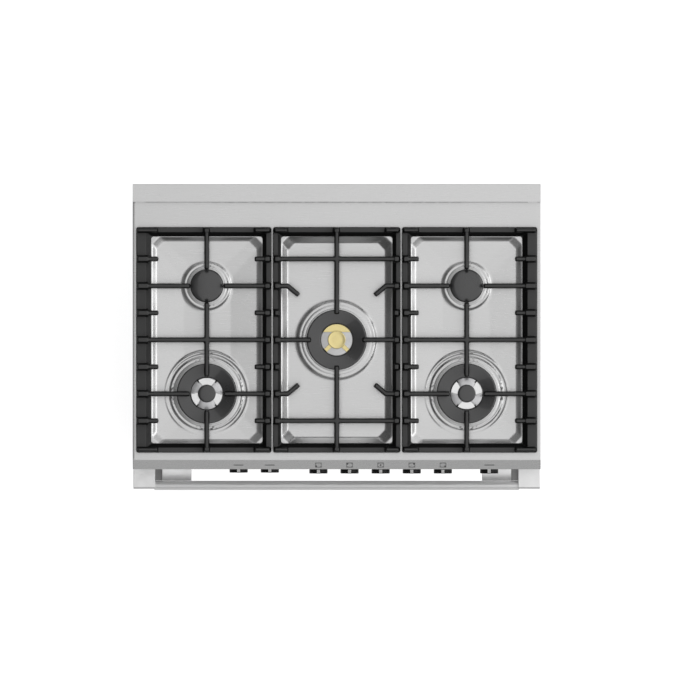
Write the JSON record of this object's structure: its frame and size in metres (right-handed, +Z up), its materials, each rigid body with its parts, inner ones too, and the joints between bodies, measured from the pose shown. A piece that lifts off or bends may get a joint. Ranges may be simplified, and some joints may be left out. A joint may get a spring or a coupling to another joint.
{
  "type": "freestanding gas range",
  "caption": "Wide freestanding gas range: three lift-off cast-iron grates over pressed burner basins, one large drop-down oven door with a bar handle, push-and-turn knobs.",
  "frame": {"origin": "centre of the footprint box, on the floor under the feet", "axes": "+X to the right as the cook faces it, +Y to the back, +Z up"},
  "size_m": [0.914, 0.687, 0.948],
  "materials": {
    "painted_side": "satin",
    "galvanised": "satin",
    "frame_enamel": "gloss",
    "brushed_steel": "satin",
    "trim_steel": "satin",
    "panel_steel": "satin",
    "door_steel": "satin",
    "handle_steel": "satin",
    "cast_handle": "satin",
    "kick_steel": "satin",
    "leg_steel": "satin",
    "plated_steel": "satin",
    "chrome_wire": "polished",
    "motor_steel": "satin",
    "cast_zinc": "matte",
    "aluminium_tube": "satin",
    "cast_aluminium": "matte",
    "black_enamel": "satin",
    "brass": "satin",
    "brass_fittings": "satin",
    "white_ceramic": "matte",
    "white_plastic": "matte",
    "switch_plastic": "matte",
    "oven_enamel": "gloss",
    "lamp_glass": "gloss",
    "wool": "matte",
    "gasket_rubber": "matte",
    "dark_glass": "gloss",
    "clear_glass": "gloss",
    "cast_iron": "matte",
    "knob_black": "gloss"
  },
  "bodies": {
    "range_body": {"side_panels": "painted_side", "back_panel": "galvanised", "base_tray": "galvanised", "front_frame": "frame_enamel", "cooktop": "brushed_steel", "back_trim": "trim_steel", "control_panel": "panel_steel", "gas_manifold": "plated_steel", "gas_valves": "brass_fittings", "gas_regulator": "cast_zinc", "burner_tubes": "aluminium_tube", "burner_cups": "cast_aluminium", "burner_heads": "cast_aluminium", "burner_caps": "black_enamel", "dual_ring_caps": "black_enamel", "center_flame_ring": "brass", "center_cap": "brass", "igniters": "white_ceramic", "spark_module": "white_plastic", "oven_switches": "switch_plastic", "oven_liner": "oven_enamel", "oven_floor": "oven_enamel", "oven_burners": "plated_steel", "fan_motor": "motor_steel", "fan_cover": "oven_enamel", "oven_lamp": "lamp_glass", "rack_guides": "chrome_wire", "oven_racks": "chrome_wire", "insulation": "wool", "flue_duct": "plated_steel", "door_gasket": "gasket_rubber", "door_hinge_arms": "plated_steel", "legs": "leg_steel", "kick_plate": "kick_steel", "panel_screws": "plated_steel", "cord_gland": "switch_plastic"},
    "door": {"door_outer_panel": "door_steel", "door_outer_glass": "dark_glass", "door_inner_panel": "oven_enamel", "door_inner_glass": "clear_glass", "door_hinge_channels": "plated_steel", "handle_tube": "handle_steel", "handle_brackets": "cast_handle"},
    "oven_fan": {"fan_blade": "plated_steel"},
    "left_grate": {"grate_left": "cast_iron"},
    "center_grate": {"grate_center": "cast_iron"},
    "right_grate": {"grate_right": "cast_iron"},
    "function_dial": {"function_knob": "knob_black"},
    "temperature_dial": {"temperature_knob": "knob_black"},
    "timer_dial": {"timer_knob": "knob_black"},
    "valve_stem_1_body": {"valve_stem_1": "brass_fittings"},
    "burner_dial_1": {"burner_knob_1": "knob_black"},
    "valve_stem_2_body": {"valve_stem_2": "brass_fittings"},
    "burner_dial_2": {"burner_knob_2": "knob_black"},
    "valve_stem_3_body": {"valve_stem_3": "brass_fittings"},
    "burner_dial_3": {"burner_knob_3": "knob_black"},
    "valve_stem_4_body": {"valve_stem_4": "brass_fittings"},
    "burner_dial_4": {"burner_knob_4": "knob_black"},
    "valve_stem_5_body": {"valve_stem_5": "brass_fittings"},
    "burner_dial_5": {"burner_knob_5": "knob_black"}
  },
  "joints": [
    {"name": "door_hinge", "type": "hinge", "parent": "range_body", "child": "door", "pos_m": [0, -0.266, 0.126], "axis": [1, 0, 0], "range_deg": [0, 90], "stiffness_Nm_per_rad": 20, "springref_deg": -22.92},
    {"name": "fan_spin", "type": "hinge", "parent": "range_body", "child": "oven_fan", "pos_m": [0, 0.218, 0.4], "axis": [0, 1, 0], "continuous": true},
    {"name": "left_grate_lift", "type": "slide", "parent": "range_body", "child": "left_grate", "axis": [0, 0, 1], "range_m": [0, 0.15]},
    {"name": "center_grate_lift", "type": "slide", "parent": "range_body", "child": "center_grate", "axis": [0, 0, 1], "range_m": [0, 0.15]},
    {"name": "right_grate_lift", "type": "slide", "parent": "range_body", "child": "right_grate", "axis": [0, 0, 1], "range_m": [0, 0.15]},
    {"name": "function_turn", "type": "hinge", "parent": "range_body", "child": "function_dial", "pos_m": [-0.22, -0.2919, 0.815], "axis": [0, -1, 0], "range_deg": [-300, 0]},
    {"name": "temperature_turn", "type": "hinge", "parent": "range_body", "child": "temperature_dial", "pos_m": [-0.15, -0.2919, 0.815], "axis": [0, -1, 0], "range_deg": [-285, 0]},
    {"name": "timer_turn", "type": "hinge", "parent": "range_body", "child": "timer_dial", "pos_m": [0.342, -0.2919, 0.815], "axis": [0, -1, 0], "range_deg": [-300, 0]},
    {"name": "burner_1_push", "type": "slide", "parent": "range_body", "child": "valve_stem_1_body", "axis": [0, 1, 0], "range_m": [0, 0.004], "stiffness_N_per_m": 800, "springref_m": -0.003},
    {"name": "burner_1_turn", "type": "hinge", "parent": "valve_stem_1_body", "child": "burner_dial_1", "pos_m": [-0.041, -0.2939, 0.815], "axis": [0, -1, 0], "range_deg": [0, 270]},
    {"name": "burner_2_push", "type": "slide", "parent": "range_body", "child": "valve_stem_2_body", "axis": [0, 1, 0], "range_m": [0, 0.004], "stiffness_N_per_m": 800, "springref_m": -0.003},
    {"name": "burner_2_turn", "type": "hinge", "parent": "valve_stem_2_body", "child": "burner_dial_2", "pos_m": [0.0288, -0.2939, 0.815], "axis": [0, -1, 0], "range_deg": [0, 270]},
    {"name": "burner_3_push", "type": "slide", "parent": "range_body", "child": "valve_stem_3_body", "axis": [0, 1, 0], "range_m": [0, 0.004], "stiffness_N_per_m": 800, "springref_m": -0.003},
    {"name": "burner_3_turn", "type": "hinge", "parent": "valve_stem_3_body", "child": "burner_dial_3", "pos_m": [0.0986, -0.2939, 0.815], "axis": [0, -1, 0], "range_deg": [0, 270]},
    {"name": "burner_4_push", "type": "slide", "parent": "range_body", "child": "valve_stem_4_body", "axis": [0, 1, 0], "range_m": [0, 0.004], "stiffness_N_per_m": 800, "springref_m": -0.003},
    {"name": "burner_4_turn", "type": "hinge", "parent": "valve_stem_4_body", "child": "burner_dial_4", "pos_m": [0.1684, -0.2939, 0.815], "axis": [0, -1, 0], "range_deg": [0, 270]},
    {"name": "burner_5_push", "type": "slide", "parent": "range_body", "child": "valve_stem_5_body", "axis": [0, 1, 0], "range_m": [0, 0.004], "stiffness_N_per_m": 800, "springref_m": -0.003},
    {"name": "burner_5_turn", "type": "hinge", "parent": "valve_stem_5_body", "child": "burner_dial_5", "pos_m": [0.2382, -0.2939, 0.815], "axis": [0, -1, 0], "range_deg": [0, 270]}
  ]
}
